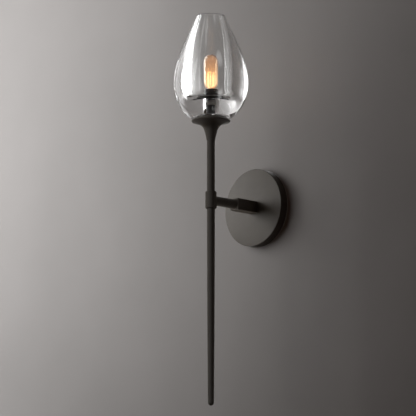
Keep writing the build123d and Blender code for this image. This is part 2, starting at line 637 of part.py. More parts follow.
def lamp_filament():
    """One wire that climbs and falls round a ring, strand after strand."""
    radius = FILAMENT_RING_DIAMETER / 2
    points = []
    for strand in range(FILAMENT_STRANDS):
        foot = strand_foot(strand) * radius
        ends = [on_axis(FILAMENT_BOTTOM) + foot, on_axis(FILAMENT_TOP) + foot]
        points += ends if strand % 2 == 0 else ends[::-1]
    link = 2 * radius * math.sin(math.pi / (FILAMENT_STRANDS + 1))
    return wire(FILAMENT_DIAMETER, points, FILAMENT_BEND_SHARE * link)


def lamp_supports():
    """Two wires out of the press to the two ends of the filament."""
    wires = []
    for strand in (0, FILAMENT_STRANDS - 1):
        foot = strand_foot(strand)
        near = foot * SUPPORT_SPREAD / 2
        far = foot * FILAMENT_RING_DIAMETER / 2
        points = [
            on_axis(MOUNT_TOP) + near,
            on_axis(MOUNT_TOP + SUPPORT_RISE) + near,
            on_axis(FILAMENT_BOTTOM - SUPPORT_RISE) + far,
            on_axis(FILAMENT_BOTTOM) + far,
        ]
        wires.append(wire(SUPPORT_DIAMETER, points, SUPPORT_BEND_RADIUS))
    return Part() + wires


def terminal_bottom():
    """The terminal block sits just above the corners of the arm's nut."""
    return ARM_NUT_WIDTH / math.sqrt(3) + TERMINAL_NUT_GAP


def terminal_back():
    return LEAD_CANOPY_Y + LEAD_DIAMETER / 2 + TERMINAL_SKIN


def lead(side):
    """One insulated wire from the lampholder down the stem, along the arm and up to the terminals."""
    x = side * LEAD_SPACING / 2
    points = [
        (x, -STANDOFF, HOLDER_BOTTOM),
        (x, -STANDOFF, 0),
        (x, LEAD_CANOPY_Y, 0),
        (x, LEAD_CANOPY_Y, terminal_bottom()),
    ]
    return wire(LEAD_DIAMETER, points, [LEAD_STEM_BEND, LEAD_CANOPY_BEND])


def terminal_block():
    depth = terminal_back() - CANOPY_INSIDE
    block = Box(TERMINAL_WIDTH, depth, TERMINAL_HEIGHT, align=(Align.CENTER, Align.MIN, Align.MIN))
    block = chamfer(block.edges(), TERMINAL_EDGE)
    return Pos(0, CANOPY_INSIDE, terminal_bottom()) * block


def terminal_screws():
    """Two slotted heads on the back of the terminal block."""
    head = bar(TERMINAL_SCREW_DIAMETER, terminal_back(), terminal_back() + TERMINAL_SCREW_HEIGHT)
    slot = Box(SCREW_SLOT_WIDTH, TERMINAL_SCREW_HEIGHT, TERMINAL_SCREW_DIAMETER)
    head -= Pos(0, terminal_back() + TERMINAL_SCREW_HEIGHT, 0) * slot
    middle = terminal_bottom() + TERMINAL_HEIGHT / 2
    sides = (-TERMINAL_SCREW_SPACING / 2, TERMINAL_SCREW_SPACING / 2)
    return Part() + [Pos(x, 0, middle) * head for x in sides]


PIECES = {
    "canopy": canopy,
    "wall_bracket": wall_bracket,
    "canopy_screws": canopy_screws,
    "earth_screw": earth_screw,
    "arm_block": arm_block,
    "arm_pipe": arm_pipe,
    "arm_washer": arm_washer,
    "arm_nut": arm_nut,
    "arm_tube": arm_tube,
    "arm_stub": arm_stub,
    "collar": collar,
    "collar_screw": collar_screw,
    "stem": stem,
    "lower_rod": lower_rod,
    "cup": cup,
    "seat_gasket": seat_gasket,
    "glass_shade": glass_shade,
    "hole_bush": hole_bush,
    "floor_gasket": floor_gasket,
    "retaining_disc": retaining_disc,
    "lamp_pipe": lamp_pipe,
    "holder_body": holder_body,
    "holder_shell": holder_shell,
    "holder_contact": holder_contact,
    "holder_cover": holder_cover,
    "lamp_tip": lamp_tip,
    "lamp_insulator": lamp_insulator,
    "lamp_cap": lamp_cap,
    "lamp_envelope": lamp_envelope,
    "lamp_mount": lamp_mount,
    "lamp_post": lamp_post,
    "lamp_supports": lamp_supports,
    "lamp_filament": lamp_filament,
    "live_lead": lambda: lead(1),
    "neutral_lead": lambda: lead(-1),
    "terminal_block": terminal_block,
    "terminal_screws": terminal_screws,
}

os.makedirs("parts", exist_ok=True)
for name, make in PIECES.items():
    export_step(make(), f"parts/{name}.step")
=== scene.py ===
import json
import math

import bpy
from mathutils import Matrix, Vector


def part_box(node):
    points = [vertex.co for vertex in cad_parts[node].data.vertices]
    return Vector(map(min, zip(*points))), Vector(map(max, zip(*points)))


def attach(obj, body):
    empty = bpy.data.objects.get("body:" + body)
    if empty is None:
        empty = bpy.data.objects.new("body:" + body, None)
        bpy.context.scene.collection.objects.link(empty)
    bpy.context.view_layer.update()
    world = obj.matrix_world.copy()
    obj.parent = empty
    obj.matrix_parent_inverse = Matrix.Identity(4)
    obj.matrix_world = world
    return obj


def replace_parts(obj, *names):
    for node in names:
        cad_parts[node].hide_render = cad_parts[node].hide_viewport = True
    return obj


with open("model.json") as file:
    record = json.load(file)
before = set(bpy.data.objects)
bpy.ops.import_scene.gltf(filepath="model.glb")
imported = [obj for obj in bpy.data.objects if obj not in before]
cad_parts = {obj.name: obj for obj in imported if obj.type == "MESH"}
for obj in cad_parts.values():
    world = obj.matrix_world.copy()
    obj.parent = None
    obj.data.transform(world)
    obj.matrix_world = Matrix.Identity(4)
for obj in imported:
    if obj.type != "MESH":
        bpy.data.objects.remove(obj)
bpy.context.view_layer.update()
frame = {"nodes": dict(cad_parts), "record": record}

nodes = frame["nodes"]

# Sizes are in millimetres, and in metres only for the stage and its lights. Angles are in degrees.
MM = 0.001

# The photograph's view: nearly flat, from the right and a little below.
PHOTO_SIDE = 416
PHOTO_SCALE = 1.54
VIEW_AZIMUTH = 44.7
VIEW_ELEVATION = -10.4
VIEW_DISTANCE = 8000.0
VIEW_REACH = 100000.0
STEM_PIXEL_X = 210.9
ARM_PIXEL_Y = 200.0

# Crystal bowl
BELLY_HEIGHT = 52.2
BASE_DIAMETER = 63.0
BASE_EDGE_RADIUS = 1.5
FLOOR_THICKNESS = 28.6
RIM_DIAMETER = 46.0
RIM_WALL = 4.2
RIM_TAPER = 23.0
BELLY_PULL = 38.0
RIM_PULL = 36.0
CAVITY_DIAMETER = 66.0
CAVITY_FOOT_DIAMETER = 71.0
CAVITY_SHOULDER_DROP = 84.0
CAVITY_CORNER_RADIUS = 11.0
HOLE_CLEARANCE = 0.3
BUSH_TOP_DIAMETER = 17.4
BUSH_FOOT_DIAMETER = 15.2

# Pale washer under the disc, with a spigot in the crystal's hole
WASHER_BORE = 11.4
WASHER_LIFT = 0.03

# Lamp
BULB_WALL = 0.8
BULB_NECK_INSET = 0.5
BULB_SHOULDER = 9.0
BULB_DOME = 10.0
BULB_DOME_ROUNDNESS = 0.55

# Share of a corner that makes a curve of two pulls nearly round
KAPPA = 0.55

# Steps round a turned piece and along its outline
CRYSTAL_ROUND_STEPS = 192
SMALL_ROUND_STEPS = 96
CURVE_STEPS = 40
CORNER_STEPS = 12
CAVITY_SIDE_STEPS = 12
HOLE_STEPS = 6
BULB_NECK_STEPS = 3
BULB_SHOULDER_STEPS = 16
BULB_SIDE_STEPS = 12
BULB_DOME_STEPS = 20
SAME_POINT = 1e-6
SHARP_ANGLE = 35.0

# Finishes: how coarse their mottling and waves are, and the span in which most of the noise lies
MOTTLE_SCALE = 40.0
MOTTLE_FINE_SCALE = 600.0
MOTTLE_DETAIL = 4.0
STREAK_SCALE = 60.0
STREAK_STRETCH = (1.0, 1.0, 0.05)
STREAK_DETAIL = 3.0
NOISE_SPREAD = (0.3, 0.7)
GRAIN_DEPTH = 0.1
EVEN_SLANT = 0.5

# Glass: refraction, the share of a shadow that it casts, and the depth of the crystal's waves
CRYSTAL_IOR = 1.52
CRYSTAL_WAVE = 0.07
LAMP_GLASS_IOR = 1.5
CLEAR_SHADOW = 0.05
FOOT_SHADOW = 0.2

# Glow of the lit lamp, from its foot up
AMBER_STRENGTH = 0.9
AMBER_GLOW = [
    (0.0, (0.16, 0.08, 0.03)),
    (0.25, (0.3, 0.18, 0.09)),
    (0.45, (0.2, 0.1, 0.04)),
    (0.65, (0.1, 0.042, 0.018)),
    (1.0, (0.05, 0.017, 0.008)),
]
AMBER_RIM = (0.25, 0.6)
FILAMENT_STRENGTH = 3.0
FILAMENT_GLOW = [(0.0, (1.0, 0.7, 0.42)), (0.6, (1.0, 0.62, 0.34)), (1.0, (1.0, 0.45, 0.16))]

# Stage, in metres
WALL_REACH = 3.0
WALL_GAP = 0.0004
WALL_MOTTLE_SCALE = 3.5
WALL_DARK = (0.47, 0.452, 0.442)
WALL_LIGHT = (0.53, 0.508, 0.498)
WALL_ROUGHNESS = 0.9
WALL_SHEEN_ROUGHNESS = 0.25
WALL_SHEEN_SLANT = (0.4, 0.65)
FLOOR_REACH = 40.0
FLOOR_HEIGHT = -1.75
FLOOR_MOTTLE_SCALE = 2.0
FLOOR_LIGHT = 2.2
ROOM_COLOUR = (0.016, 0.009, 0.006)
BACKDROP_COLOUR = (0.5, 0.49, 0.48)

# Panels that only the glass and the wall show: azimuths, elevations and brightness
PANEL_DISTANCE = 3.0
PANEL_CENTRE = (0.5, 0.5, 0.0)
PANEL_CORE = 0.25
PANEL_EDGE = 0.5
PANELS = [
    ("left_panel", (-100.0, -58.0), (-30.0, 42.0), 3.0),
    ("left_strip", (-60.0, -48.0), (-30.0, 42.0), 28.0),
    ("front_strip", (-14.0, -2.0), (0.0, 42.0), 3.0),
    ("right_panel", (62.0, 90.0), (25.0, 50.0), 3.0),
    ("low_strip", (68.0, 90.0), (-50.0, -10.0), 3.5),
]

# Soft boxes at the left, near the wall, then lights for some pieces: place, aim, width and height, watts
SOFTBOXES = [
    ("near_softbox", (-0.6, -0.77, 0.27), (-0.9, 0, 0.5), (0.9, 0.95), 3.0),
    ("wall_softbox", (-1.0, -0.55, 0.3), (-0.9, 0, 0.4), (0.9, 1.2), 4.1),
    ("far_softbox", (-1.8, -0.7, 0.5), (0, 0, 0.1), (0.6, 1.2), 8.4),
    ("high_softbox", (-1.2, -0.45, 0.8), (0, 0, 0.1), (0.4, 0.8), 2.2),
]
PLATE_LIGHT = ((-0.21, -0.15, 0.06), (-0.04, -0.014, 0.01), (0.12, 0.15), 0.24)
LOW_FILL = ((-0.7, -0.5, -0.8), (0, -0.1, 0.1), (0.5, 0.5), 5.0)
FRONT_FILL = ((0.3, -3.2, 0.3), (0, 0, 0.1), (8.0, 5.0), 65.0)
BACK_FILL = ((-1.8, 1.8, 0.7), (0, 0, 0), (1.5, 1.5), 60.0)

stem_low, stem_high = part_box("stem")
STEM_AXIS = (stem_low + stem_high) / 2
STEM_AXIS.z = 0


def node_span(name):
    """A node's lowest and highest point and its width, in millimetres."""
    low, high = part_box(name)
    return low.z / MM, high.z / MM, (high.x - low.x) / MM


# Outlines, as points of (radius, height)

def straight(start, end, steps=1):
    """Points along a straight run."""
    return [(start[0] + (end[0] - start[0]) * i / steps, start[1] + (end[1] - start[1]) * i / steps)
            for i in range(steps + 1)]


def bezier(a, b, c, d, steps=CURVE_STEPS):
    """Points along a curve from a to d, pulled towards b and c."""
    points = []
    for i in range(steps + 1):
        t = i / steps
        weights = ((1 - t) ** 3, 3 * t * (1 - t) ** 2, 3 * t * t * (1 - t), t ** 3)
        points.append(tuple(sum(w * p[k] for w, p in zip(weights, (a, b, c, d))) for k in (0, 1)))
    return points


def arc(centre, radius, start, end, steps=CORNER_STEPS):
    """Points along an arc between two angles in degrees."""
    angles = [math.radians(start + (end - start) * i / steps) for i in range(steps + 1)]
    return [(centre[0] + radius * math.cos(a), centre[1] + radius * math.sin(a)) for a in angles]


def tangent_arc(start, direction, end):
    """The arc that leaves one point in a direction and ends at another."""
    length = math.hypot(*direction)
    side = (-direction[1] / length, direction[0] / length)
    step = (end[0] - start[0], end[1] - start[1])
    radius = (step[0] ** 2 + step[1] ** 2) / (2 * (step[0] * side[0] + step[1] * side[1]))
    centre = (start[0] + radius * side[0], start[1] + radius * side[1])
    first, last = (math.degrees(math.atan2(p[1] - centre[1], p[0] - centre[0])) for p in (start, end))
    return arc(centre, abs(radius), first, last, CURVE_STEPS)


def rounded_corner(before, corner, after, radius):
    """Two straight runs that meet in a rounded corner."""
    reach = []
    for far in (before, after):
        length = math.dist(far, corner)
        reach.append(((far[0] - corner[0]) / length, (far[1] - corner[1]) / length))
    opening = math.acos(reach[0][0] * reach[1][0] + reach[0][1] * reach[1][1])
    cut = radius / math.tan(opening / 2)
    ends = [(corner[0] + r[0] * cut, corner[1] + r[1] * cut) for r in reach]
    pulls = [tuple(e[k] + KAPPA * (corner[k] - e[k]) for k in (0, 1)) for e in ends]
    bend = bezier(ends[0], *pulls, ends[1], CORNER_STEPS)
    return straight(before, ends[0], CAVITY_SIDE_STEPS) + bend + [after]


def outline(*runs):
    """Runs joined end to end, without the points they share."""
    points = []
    for run in runs:
        for point in run:
            if not points or math.dist(point, points[-1]) > SAME_POINT:
                points.append(point)
    if math.dist(points[0], points[-1]) < SAME_POINT:
        points.pop()
    return points


def add_mesh(name, vertices, faces, body, material):
    """A piece of the sconce, riding on a body."""
    mesh = bpy.data.meshes.new(name)
    mesh.from_pydata([Vector(v) * MM for v in vertices], [], faces)
    mesh.validate()
    mesh.shade_smooth()
    mesh.set_sharp_from_angle(angle=math.radians(SHARP_ANGLE))
    piece = bpy.data.objects.new(name, mesh)
    piece.data.materials.append(material)
    bpy.context.scene.collection.objects.link(piece)
    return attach(piece, body)


def lathe(name, profile, body, material, steps):
    """A closed outline of (radius, height) turned on the stem's axis."""
    vertices = []
    rings = []
    for radius, height in profile:
        start = len(vertices)
        count = 1 if radius < SAME_POINT else steps
        for i in range(count):
            turn = 2 * math.pi * i / steps
            x = STEM_AXIS.x / MM + radius * math.cos(turn)
            y = STEM_AXIS.y / MM + radius * math.sin(turn)
            vertices.append((x, y, height))
        rings.append([start + i % count for i in range(steps)])
    faces = []
    for lower, upper in zip(rings, rings[1:] + rings[:1]):
        for i in range(steps):
            j = (i + 1) % steps
            corners = (lower[i], lower[j], upper[j], upper[i])
            face = tuple(dict.fromkeys(corners))
            if len(face) > 2:
                faces.append(face)
    return add_mesh(name, vertices, faces, body, material)


# Node groups and materials

def new_group(name, inputs, outputs):
    """An empty shader node group with its named inputs and outputs."""
    tree = bpy.data.node_groups.new(name, "ShaderNodeTree")
    for label, value in inputs:
        socket = tree.interface.new_socket(label, in_out="INPUT", socket_type="NodeSocketFloat")
        socket.default_value = value
    for label in outputs:
        tree.interface.new_socket(label, in_out="OUTPUT", socket_type="NodeSocketFloat")
    return tree, tree.nodes.new("NodeGroupInput"), tree.nodes.new("NodeGroupOutput")


def make_mottle():
    """Slow and fine mottling of a finish, from 0 to 1."""
    scales = [("Scale", MOTTLE_SCALE), ("Fine", MOTTLE_FINE_SCALE)]
    tree, inputs, outputs = new_group("mottle", scales, ["Slow", "Fine"])
    place = tree.nodes.new("ShaderNodeTexCoord")
    for scale, label in (("Scale", "Slow"), ("Fine", "Fine")):
        noise = tree.nodes.new("ShaderNodeTexNoise")
        noise.inputs["Detail"].default_value = MOTTLE_DETAIL
        tree.links.new(place.outputs["Object"], noise.inputs["Vector"])
        tree.links.new(inputs.outputs[scale], noise.inputs["Scale"])
        tree.links.new(noise.outputs["Fac"], outputs.inputs[label])
    return tree


def make_streaks():
    """Long upright waves, as hand-drawn glass has, from 0 to 1."""
    tree, inputs, outputs = new_group("streaks", [("Scale", STREAK_SCALE)], ["Height"])
    place = tree.nodes.new("ShaderNodeTexCoord")
    stretch = tree.nodes.new("ShaderNodeMapping")
    stretch.inputs["Scale"].default_value = STREAK_STRETCH
    noise = tree.nodes.new("ShaderNodeTexNoise")
    noise.inputs["Detail"].default_value = STREAK_DETAIL
    tree.links.new(place.outputs["Object"], stretch.inputs["Vector"])
    tree.links.new(stretch.outputs["Vector"], noise.inputs["Vector"])
    tree.links.new(inputs.outputs["Scale"], noise.inputs["Scale"])
    tree.links.new(noise.outputs["Fac"], outputs.inputs["Height"])
    return tree


def make_height_share():
    """How far up a point is between two heights, from 0 to 1."""
    tree, inputs, outputs = new_group("height_share", [("Low", 0.0), ("High", 1.0)], ["Share"])
    place = tree.nodes.new("ShaderNodeTexCoord")
    axes = tree.nodes.new("ShaderNodeSeparateXYZ")
    share = tree.nodes.new("ShaderNodeMapRange")
    tree.links.new(place.outputs["Object"], axes.inputs["Vector"])
    tree.links.new(axes.outputs["Z"], share.inputs["Value"])
    tree.links.new(inputs.outputs["Low"], share.inputs["From Min"])
    tree.links.new(inputs.outputs["High"], share.inputs["From Max"])
    tree.links.new(share.outputs["Result"], outputs.inputs["Share"])
    return tree


MOTTLE = make_mottle()
STREAKS = make_streaks()
HEIGHT_SHARE = make_height_share()


def new_material(name):
    """A material with its tree and its shader."""
    material = bpy.data.materials.new(name)
    material.use_nodes = True
    return material, material.node_tree, material.node_tree.nodes["Principled BSDF"]


def add_group(tree, group, values):
    """A shared effect, placed in a material with its own values."""
    effect = tree.nodes.new("ShaderNodeGroup")
    effect.node_tree = group
    for label, value in values.items():
        effect.inputs[label].default_value = value
    return effect


def add_bump(tree, shader, source, strength, depth):
    """Small hills on a surface, their depth in millimetres."""
    hills = tree.nodes.new("ShaderNodeBump")
    hills.inputs["Strength"].default_value = strength
    hills.inputs["Distance"].default_value = depth * MM
    tree.links.new(source, hills.inputs["Height"])
    tree.links.new(hills.outputs["Normal"], shader.inputs["Normal"])


def remap(tree, source, span, ends):
    """A value carried from one span to another, and held at its ends."""
    change = tree.nodes.new("ShaderNodeMapRange")
    change.inputs["From Min"].default_value = span[0]
    change.inputs["From Max"].default_value = span[1]
    change.inputs["To Min"].default_value = ends[0]
    change.inputs["To Max"].default_value = ends[1]
    tree.links.new(source, change.inputs["Value"])
    return change


def ramp(tree, source, stops):
    """Colours along a value from 0 to 1."""
    stops = list(stops)
    colours = tree.nodes.new("ShaderNodeValToRGB")
    elements = colours.color_ramp.elements
    while len(elements) < len(stops):
        elements.new(1.0)
    for element, (position, colour) in zip(elements, stops):
        element.position = position
        element.color = (*colour, 1)
    tree.links.new(source, colours.inputs["Fac"])
    return colours.outputs["Color"]


def mottled(name, dark, light, rough, metallic, scale=MOTTLE_SCALE, bump=0.0):
    """A finish whose colour and gloss drift a little over the surface."""
    material, tree, shader = new_material(name)
    mottle = add_group(tree, MOTTLE, {"Scale": scale, "Fine": MOTTLE_FINE_SCALE})
    colour = ramp(tree, mottle.outputs["Slow"], zip(NOISE_SPREAD, (dark, light)))
    tree.links.new(colour, shader.inputs["Base Color"])
    gloss = remap(tree, mottle.outputs["Fine"], NOISE_SPREAD, rough)
    tree.links.new(gloss.outputs["Result"], shader.inputs["Roughness"])
    shader.inputs["Metallic"].default_value = metallic
    if bump:
        add_bump(tree, shader, mottle.outputs["Fine"], bump, GRAIN_DEPTH)
    return material


def clear_glass(name, deep, pale, ior, shadow, wave=0.0):
    """Drawn glass with faint upright waves, which lets a share of straight light through."""
    material, tree, shader = new_material(name)
    waves = add_group(tree, STREAKS, {"Scale": STREAK_SCALE})
    tint = ramp(tree, waves.outputs["Height"], zip(NOISE_SPREAD, (deep, pale)))
    tree.links.new(tint, shader.inputs["Base Color"])
    shader.inputs["Roughness"].default_value = 0.0
    shader.inputs["IOR"].default_value = ior
    shader.inputs["Transmission Weight"].default_value = 1.0
    if wave:
        add_bump(tree, shader, waves.outputs["Height"], 1.0, wave)
    path = tree.nodes.new("ShaderNodeLightPath")
    keep = remap(tree, path.outputs["Is Shadow Ray"], (0.0, 1.0), (1.0, shadow))
    tree.links.new(keep.outputs["Result"], shader.inputs["Alpha"])
    return material


def glow(material, node, strength, stops, rim=None):
    """Light from inside that changes with height along a node, and may fade towards its sides."""
    tree = material.node_tree
    shader = tree.nodes["Principled BSDF"]
    low, high = (corner.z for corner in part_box(node))
    share = add_group(tree, HEIGHT_SHARE, {"Low": low, "High": high})
    colour = ramp(tree, share.outputs["Share"], stops)
    if rim:
        slant = tree.nodes.new("ShaderNodeLayerWeight")
        slant.inputs["Blend"].default_value = EVEN_SLANT
        fade = remap(tree, slant.outputs["Facing"], rim, (1.0, 0.0))
        scale = tree.nodes.new("ShaderNodeVectorMath")
        scale.operation = "SCALE"
        tree.links.new(colour, scale.inputs["Vector"])
        tree.links.new(fade.outputs["Result"], scale.inputs["Scale"])
        colour = scale.outputs["Vector"]
    tree.links.new(colour, shader.inputs["Emission Color"])
    shader.inputs["Emission Strength"].default_value = strength


# Each finish: its dark and light tone, its least and most roughness, and how metallic it is
BRONZE = mottled("dark_bronze", (0.088, 0.074, 0.058), (0.106, 0.09, 0.071), (0.46, 0.54), 0.0, bump=0.05)
ZINC = mottled("zinc_plate", (0.5, 0.5, 0.51), (0.62, 0.62, 0.63), (0.3, 0.42), 1.0, scale=120.0)
BRASS = mottled("brass", (0.62, 0.46, 0.2), (0.75, 0.58, 0.28), (0.25, 0.35), 1.0, scale=200.0)
NICKEL = mottled("nickel", (0.6, 0.58, 0.53), (0.7, 0.68, 0.62), (0.18, 0.26), 1.0, scale=200.0)
BLACK = mottled("black_moulding", (0.012, 0.011, 0.011), (0.018, 0.016, 0.016), (0.4, 0.5), 0.0, bump=0.05)
WHITE = mottled("white_moulding", (0.74, 0.73, 0.7), (0.8, 0.79, 0.77), (0.4, 0.5), 0.0, bump=0.03)
RUBBER = mottled("black_rubber", (0.012, 0.012, 0.012), (0.02, 0.019, 0.019), (0.55, 0.7), 0.0, bump=0.05)
ENAMEL = mottled("black_enamel", (0.01, 0.01, 0.01), (0.016, 0.015, 0.015), (0.35, 0.45), 0.0)
SILICONE = mottled("pale_silicone", (0.72, 0.72, 0.7), (0.8, 0.8, 0.78), (0.35, 0.45), 0.0)
BLACK_GLAZE = mottled("black_glaze", (0.01, 0.01, 0.012), (0.015, 0.015, 0.018), (0.08, 0.12), 0.0)
CRYSTAL = clear_glass("crystal", (0.975, 0.982, 0.98), (0.99, 0.993, 0.992), CRYSTAL_IOR, CLEAR_SHADOW,
                      CRYSTAL_WAVE)
AMBER = clear_glass("amber_glass", (0.95, 0.86, 0.72), (0.97, 0.89, 0.77), LAMP_GLASS_IOR, CLEAR_SHADOW)
FOOT_GLASS = clear_glass("lamp_foot_glass", (0.95, 0.95, 0.94), (0.97, 0.97, 0.96), LAMP_GLASS_IOR,
                         FOOT_SHADOW)
FILAMENT = mottled("glowing_filament", (0.9, 0.5, 0.16), (1.0, 0.6, 0.2), (0.4, 0.5), 0.0)
glow(AMBER, "lamp_envelope", AMBER_STRENGTH, AMBER_GLOW, AMBER_RIM)
glow(FILAMENT, "lamp_filament", FILAMENT_STRENGTH, FILAMENT_GLOW)

FINISHES = {
    "bronze": BRONZE,
    "zinc_steel": ZINC,
    "earth_brass": BRASS,
    "clear_silicone": SILICONE,
    "black_rubber": RUBBER,
    "black_enamel": ENAMEL,
    "crystal": CRYSTAL,
    "black_moulding": BLACK,
    "contact_brass": BRASS,
    "solder": ZINC,
    "black_glass": BLACK_GLAZE,
    "cap_nickel": NICKEL,
    "amber_glass": AMBER,
    "lamp_foot_glass": FOOT_GLASS,
    "support_wire": NICKEL,
    "glowing_filament": FILAMENT,
    "black_insulation": BLACK,
    "white_insulation": WHITE,
    "white_moulding": WHITE,
}


def dress_nodes():
    """Every solid takes the finish of its material slot."""
    for entry in frame["record"]["subparts"]:
        node = nodes[entry["node"]]
        node.data.materials.clear()
        node.data.materials.append(FINISHES[entry["material_slot"]])


# Clear and pale pieces, turned finer than their solids

def crystal_floor():
    """The height of the floor of the crystal's cavity."""
    return node_span("glass_shade")[0] + FLOOR_THICKNESS


def bush_radius(height):
    """The radius of what fills the tapered hole through the crystal's base."""
    low = node_span("hole_bush")[0]
    share = (height - low) / (crystal_floor() - low)
    return (BUSH_FOOT_DIAMETER + (BUSH_TOP_DIAMETER - BUSH_FOOT_DIAMETER) * share) / 2


def rounded_base(base, belly):
    """The crystal's lower side, from the rounded edge of its flat base up to the belly."""
    side = tangent_arc(belly, (0, -1), base)[::-1]
    inside_edge = (base[0] - BASE_EDGE_RADIUS, base[1])
    above = [point for point in side if point[1] > base[1] + BASE_EDGE_RADIUS]
    return bezier(inside_edge, base, base, above[0], CORNER_STEPS) + above[1:]


def make_crystal():
    """The thick bowl: out over the belly, round the rim, down the cavity and through the hole."""
    low, high, width = node_span("glass_shade")
    belly = (width / 2, low + BELLY_HEIGHT)
    base = (BASE_DIAMETER / 2, low)
    rim_height = high - RIM_WALL / 2
    rim_out = (RIM_DIAMETER / 2, rim_height)
    rim_in = (RIM_DIAMETER / 2 - RIM_WALL, rim_height)
    lean = math.tan(math.radians(RIM_TAPER))
    floor = crystal_floor()
    shoulder = (CAVITY_DIAMETER / 2, high - CAVITY_SHOULDER_DROP)
    foot = (CAVITY_FOOT_DIAMETER / 2, floor)
    upward = (shoulder[0] - foot[0], shoulder[1] - foot[1])
    hole_high = (bush_radius(floor) + HOLE_CLEARANCE, floor)
    hole_low = (bush_radius(low) + HOLE_CLEARANCE, low)
    profile = outline(
        rounded_base(base, belly),
        bezier(belly, (belly[0], belly[1] + BELLY_PULL),
               (rim_out[0] + lean * RIM_PULL, rim_height - RIM_PULL), rim_out),
        arc(((rim_out[0] + rim_in[0]) / 2, rim_height), RIM_WALL / 2, 0, 180),
        tangent_arc(shoulder, upward, rim_in)[::-1],
        rounded_corner(shoulder, foot, hole_high, CAVITY_CORNER_RADIUS),
        straight(hole_high, hole_low, HOLE_STEPS),
    )
    crystal = lathe("crystal_bowl", profile, "fixture", CRYSTAL, CRYSTAL_ROUND_STEPS)
    crystal.visible_diffuse = False
    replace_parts(crystal, "glass_shade")


def make_washer():
    """The pale washer, a hair clear of the crystal's floor, with its spigot in the hole."""
    low, high, width = node_span("floor_gasket")
    floor = crystal_floor() + WASHER_LIFT
    bore = WASHER_BORE / 2
    profile = outline(
        straight((bore, low), (bush_radius(low), low)),
        straight((bush_radius(low), low), (bush_radius(floor), floor)),
        straight((width / 2, floor), (width / 2, high)),
        straight((width / 2, high), (bore, high)),
    )
    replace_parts(lathe("pale_washer", profile, "fixture", SILICONE, SMALL_ROUND_STEPS), "floor_gasket")


def bulb_side(neck, radius, low, cap_top, high):
    """One side of the bulb's glass, from the foot of its neck to the top of its dome."""
    shoulder = cap_top + BULB_SHOULDER
    middle = (cap_top + shoulder) / 2
    dome = high - BULB_DOME
    return outline(
        straight((neck, low), (neck, cap_top), BULB_NECK_STEPS),
        bezier((neck, cap_top), (neck, middle), (radius, middle), (radius, shoulder), BULB_SHOULDER_STEPS),
        straight((radius, shoulder), (radius, dome), BULB_SIDE_STEPS),
        bezier((radius, dome), (radius, dome + BULB_DOME_ROUNDNESS * BULB_DOME),
               (BULB_DOME_ROUNDNESS * radius, high), (0, high), BULB_DOME_STEPS),
    )


def make_bulb():
    """The bulb's thin glass, with its neck inside the lamp's cap."""
    low, high, width = node_span("lamp_envelope")
    _, cap_top, cap_width = node_span("lamp_cap")
    neck = cap_width / 2 - BULB_NECK_INSET
    outside = bulb_side(neck, width / 2, low, cap_top, high)
    inside = bulb_side(neck - BULB_WALL, width / 2 - BULB_WALL, low, cap_top, high - BULB_WALL)
    profile = outside + inside[::-1]
    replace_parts(lathe("amber_bulb", profile, "lamp", AMBER, SMALL_ROUND_STEPS), "lamp_envelope")


# Stage and lights

def soften_edges(light):
    """A panel that is brightest in the middle and fades towards its edges."""
    light.use_nodes = True
    tree = light.node_tree
    place = tree.nodes.new("ShaderNodeNewGeometry")
    ball = tree.nodes.new("ShaderNodeVectorMath")
    ball.operation = "DISTANCE"
    ball.inputs[1].default_value = PANEL_CENTRE
    tree.links.new(place.outputs["Parametric"], ball.inputs[0])
    fade = remap(tree, ball.outputs["Value"], (PANEL_CORE, PANEL_EDGE), (1.0, 0.0))
    fade.interpolation_type = "SMOOTHSTEP"
    tree.links.new(fade.outputs["Result"], tree.nodes["Emission"].inputs["Strength"])


def add_area(name, place, aim, size, power):
    """A flat light that the camera doesn't see."""
    light = bpy.data.lights.new(name, "AREA")
    light.shape = "RECTANGLE"
    light.size, light.size_y = size
    light.energy = power
    holder = bpy.data.objects.new(name, light)
    holder.location = place
    holder.rotation_mode = "QUATERNION"
    holder.rotation_quaternion = (Vector(aim) - Vector(place)).to_track_quat("-Z", "Y")
    holder.visible_camera = False
    bpy.context.scene.collection.objects.link(holder)
    return holder


def light_only(light, collection, pieces):
    """Keeps a light to some pieces."""
    receivers = bpy.data.collections.new(collection)
    for piece in pieces:
        receivers.objects.link(piece)
    light.light_linking.receiver_collection = receivers


def make_panels():
    """Panels round the light give the crystal its white lines. They light no matt surface."""
    glassware = [bpy.data.objects[label] for label in ("crystal_bowl", "amber_bulb", "wall")]
    aim = Vector((STEM_AXIS.x, STEM_AXIS.y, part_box("lamp_envelope")[0].z))
    for label, azimuth, elevation, brightness in PANELS:
        left, right = (math.radians(angle) for angle in azimuth)
        low, high = (PANEL_DISTANCE * math.tan(math.radians(angle)) for angle in elevation)
        turn = (left + right) / 2
        size = (2 * PANEL_DISTANCE * math.tan((right - left) / 2), high - low)
        rise = (low + high) / 2
        place = aim + Vector((PANEL_DISTANCE * math.sin(turn), -PANEL_DISTANCE * math.cos(turn), rise))
        level = aim + Vector((0, 0, rise))
        panel = add_area(label, place, level, size, brightness * math.pi * size[0] * size[1])
        panel.visible_diffuse = False
        light_only(panel, label, glassware)
        soften_edges(panel.data)


def make_lights():
    """Soft boxes for the wall and the metal, and lights that reach some pieces only."""
    light_only(add_area("plate_light", *PLATE_LIGHT), "plate", [nodes["canopy"]])
    for label, place, aim, size, power in SOFTBOXES:
        softbox = add_area(label, place, aim, size, power)
        softbox.visible_glossy = False
        softbox.visible_transmission = False
    front_fill = add_area("front_fill", *FRONT_FILL)
    front_fill.visible_diffuse = False
    light_only(front_fill, "all_but_plate", [nodes[label] for label in nodes if label != "canopy"])
    light_only(add_area("low_fill", *LOW_FILL), "arm", [nodes["arm_block"], nodes["arm_tube"]])
    light_only(add_area("back_fill", *BACK_FILL), "sconce", nodes.values())


